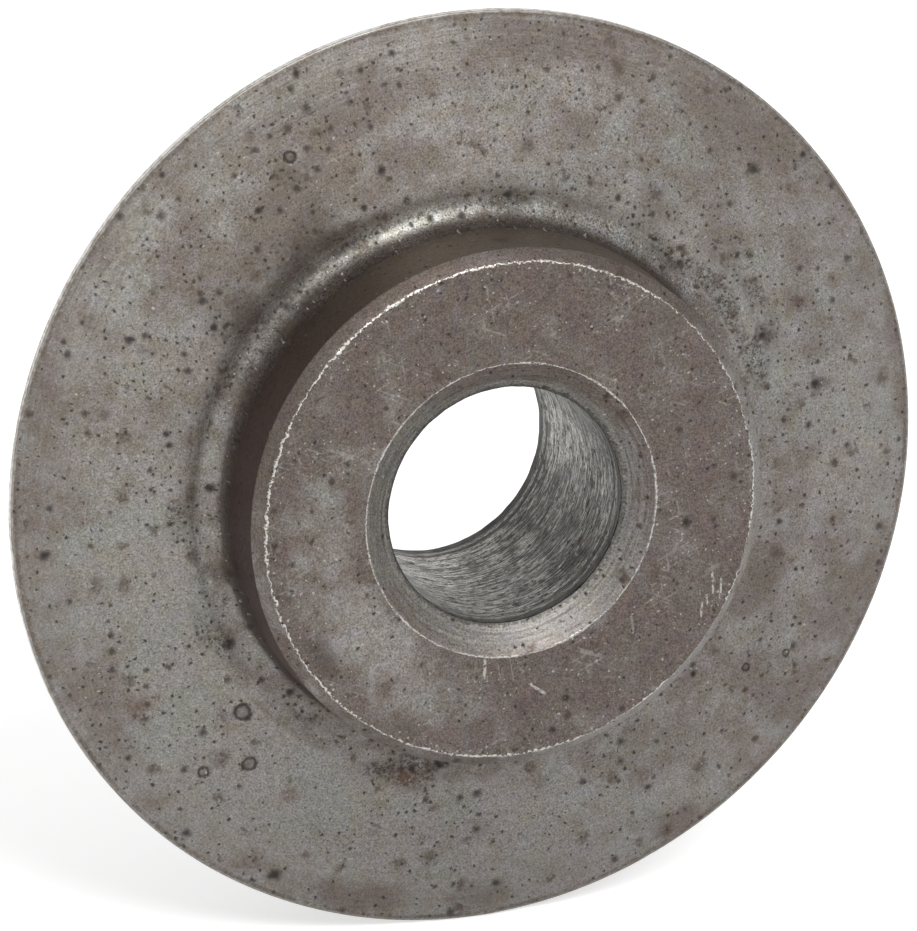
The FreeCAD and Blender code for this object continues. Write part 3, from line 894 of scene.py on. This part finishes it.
# The rim's narrow land is rubbed pale, with a thin dark line along each side.
rim_line = ramp(abs(reach - 15.86 + wobble * 0.1), off=0.13, on=0.03)
rim_line = rim_line * ramp(chew * 0.6 + broad * 0.4, off=0.36, on=0.58)
colour = mix(rim_line * 0.55, colour, (0.1, 0.078, 0.064))
land = ramp(reach + (chew - 0.5) * 0.12, off=15.9, on=15.96)
rubbed = ramp(grit * 0.55 + broad * 0.45, off=0.34, on=0.6)
land_colour = mix(rubbed, (0.5, 0.46, 0.4), (0.92, 0.9, 0.86))
land_side = ramp(depth + (chew - 0.5) * 0.05, off=0.095, on=0.135)
land_colour = mix(land_side * 0.72, land_colour, (0.16, 0.14, 0.125))
colour = mix(land, colour, land_colour)

rough = 0.43 + film * 0.07 + (grit - 0.5) * 0.22 + (grain - 0.5) * 0.15
rough = rough + most(fine, mid, pit) * 0.2
rough = rough - worn * 0.1 - bare_and_highlight_paint * 0.06 - inside * 0.12 + cone * 0.1

# Fine relief: grain everywhere, turning lines on flank and cone, streaks in the bore.
fine_place = graph.blend(
    "VECTOR", inside, low=scaled(mm, 9.0), high=vec(right * 9.0, up * 9.0, y * 15.0)
)
height = noise(fine_place, scale=1.0, detail=1, rough=0.7) * lerp(inside, low=0.005, high=0.016)
tool_depth = inside * 0.019 + flank * 0.003 + cone * 0.007
height = height + noise(tool_place, scale=1.0, detail=1, rough=0.6) * tool_depth

surface = graph.add("ShaderNodeBsdfPrincipled", {
    "Base Color": colour,
    "Metallic": lerp(most(stain_and_shade, film * 0.6, pit, soot), low=1.0, high=0.75),
    "Roughness": graph.math("MINIMUM", most(rough, 0.25), 0.9),
    "Normal": graph.add("ShaderNodeBump", {"Strength": 1.0, "Distance": 0.001, "Height": height}),
})
graph.node("ShaderNodeOutputMaterial", {0: surface})
mesh.materials.append(material)

# ------------------------------------------------------------------ stage, in metres
FLOOR_HALF = 4.0
FLOOR_GAP = 0.00002  # under the rim
floor_mesh = bpy.data.meshes.new("floor")
floor_corners = [(i * FLOOR_HALF, j * FLOOR_HALF, 0) for i, j in ((-1, -1), (1, -1), (1, 1), (-1, 1))]
floor_mesh.from_pydata(floor_corners, [], [(0, 1, 2, 3)])
floor = bpy.data.objects.new("floor", floor_mesh)
floor.location = (0, 0, -RIM_R * MM - FLOOR_GAP)
bpy.context.scene.collection.objects.link(floor)

floor_material = bpy.data.materials.new("pale_floor")
floor_material.use_nodes = True
graph = Graph(floor_material.node_tree)
camera_ray = graph.add("ShaderNodeLightPath", {}, "Is Camera Ray")
for key, setting in {
    "Base Color": (0.88, 0.88, 0.88, 1),
    "Roughness": 0.9,
    "Specular IOR Level": 0.1,
    # A little extra light for camera rays only, so the floor reads as a clean white sweep.
    "Emission Color": (1, 1, 1, 1),
    "Emission Strength": camera_ray * 0.38,
}.items():
    graph.put(graph.tree.nodes["Principled BSDF"].inputs[key], setting)
floor_mesh.materials.append(floor_material)

# White surroundings, dimmer as a light than as a backdrop.
world = bpy.data.worlds.new("studio")
world.use_nodes = True
graph = Graph(world.node_tree)
sky = world.node_tree.nodes["Background"]
sky.inputs["Color"].default_value = (1, 1, 1, 1)
camera_ray = graph.add("ShaderNodeLightPath", {}, "Is Camera Ray")
graph.put(sky.inputs["Strength"], graph.lerp(camera_ray, low=0.74, high=1.0))
bpy.context.scene.world = world

# One round softbox above the front, aimed at the wheel.
light_data = bpy.data.lights.new("key", "AREA")
light_data.shape = "DISK"
light_data.size = 0.26
light_data.energy = 2.0
key_light = bpy.data.objects.new("key", light_data)
key_light.location = Vector((0.02, -0.767, 0.637)) * 0.6
key_light.rotation_mode = "QUATERNION"
key_light.rotation_quaternion = (-key_light.location).to_track_quat("-Z", "Y")
bpy.context.scene.collection.objects.link(key_light)

# Camera: 17.7 degrees above the axle line and 19.2 degrees to its left, no roll.
VIEW_TILT = 0.452  # radians between the view and the axle
VIEW_TURN = 0.7195  # radians, which way the axle leans in the view
WHEEL_OFFSET = (0.2182673, 0.1413147, 336.64)  # right, down, ahead of the camera, in mm
lean = math.sin(VIEW_TILT) * math.cos(VIEW_TURN)
cam_right = np.array([math.sqrt(1 - lean**2), -lean, 0.0])
ahead_y = math.cos(VIEW_TILT)
ahead_x = ahead_y * lean / cam_right[0]
ahead = np.array([ahead_x, ahead_y, -math.sqrt(1 - ahead_x**2 - ahead_y**2)])
down = np.cross(ahead, cam_right)
position = -(np.array(WHEEL_OFFSET) @ np.array([cam_right, down, ahead])) * MM
camera_data = bpy.data.cameras.new("camera")
camera_data.sensor_fit = "AUTO"
camera_data.sensor_width = 36.0
camera_data.lens = 386.680988
camera_data.clip_start = 0.01
camera_data.clip_end = 20.0
camera = bpy.data.objects.new("camera", camera_data)
camera.matrix_world = Matrix([*zip(cam_right, -down, -ahead, position), (0, 0, 0, 1)])
bpy.context.scene.collection.objects.link(camera)
bpy.context.scene.camera = camera
bpy.context.scene.view_settings.view_transform = "Standard"
bpy.context.scene.view_settings.look = "None"
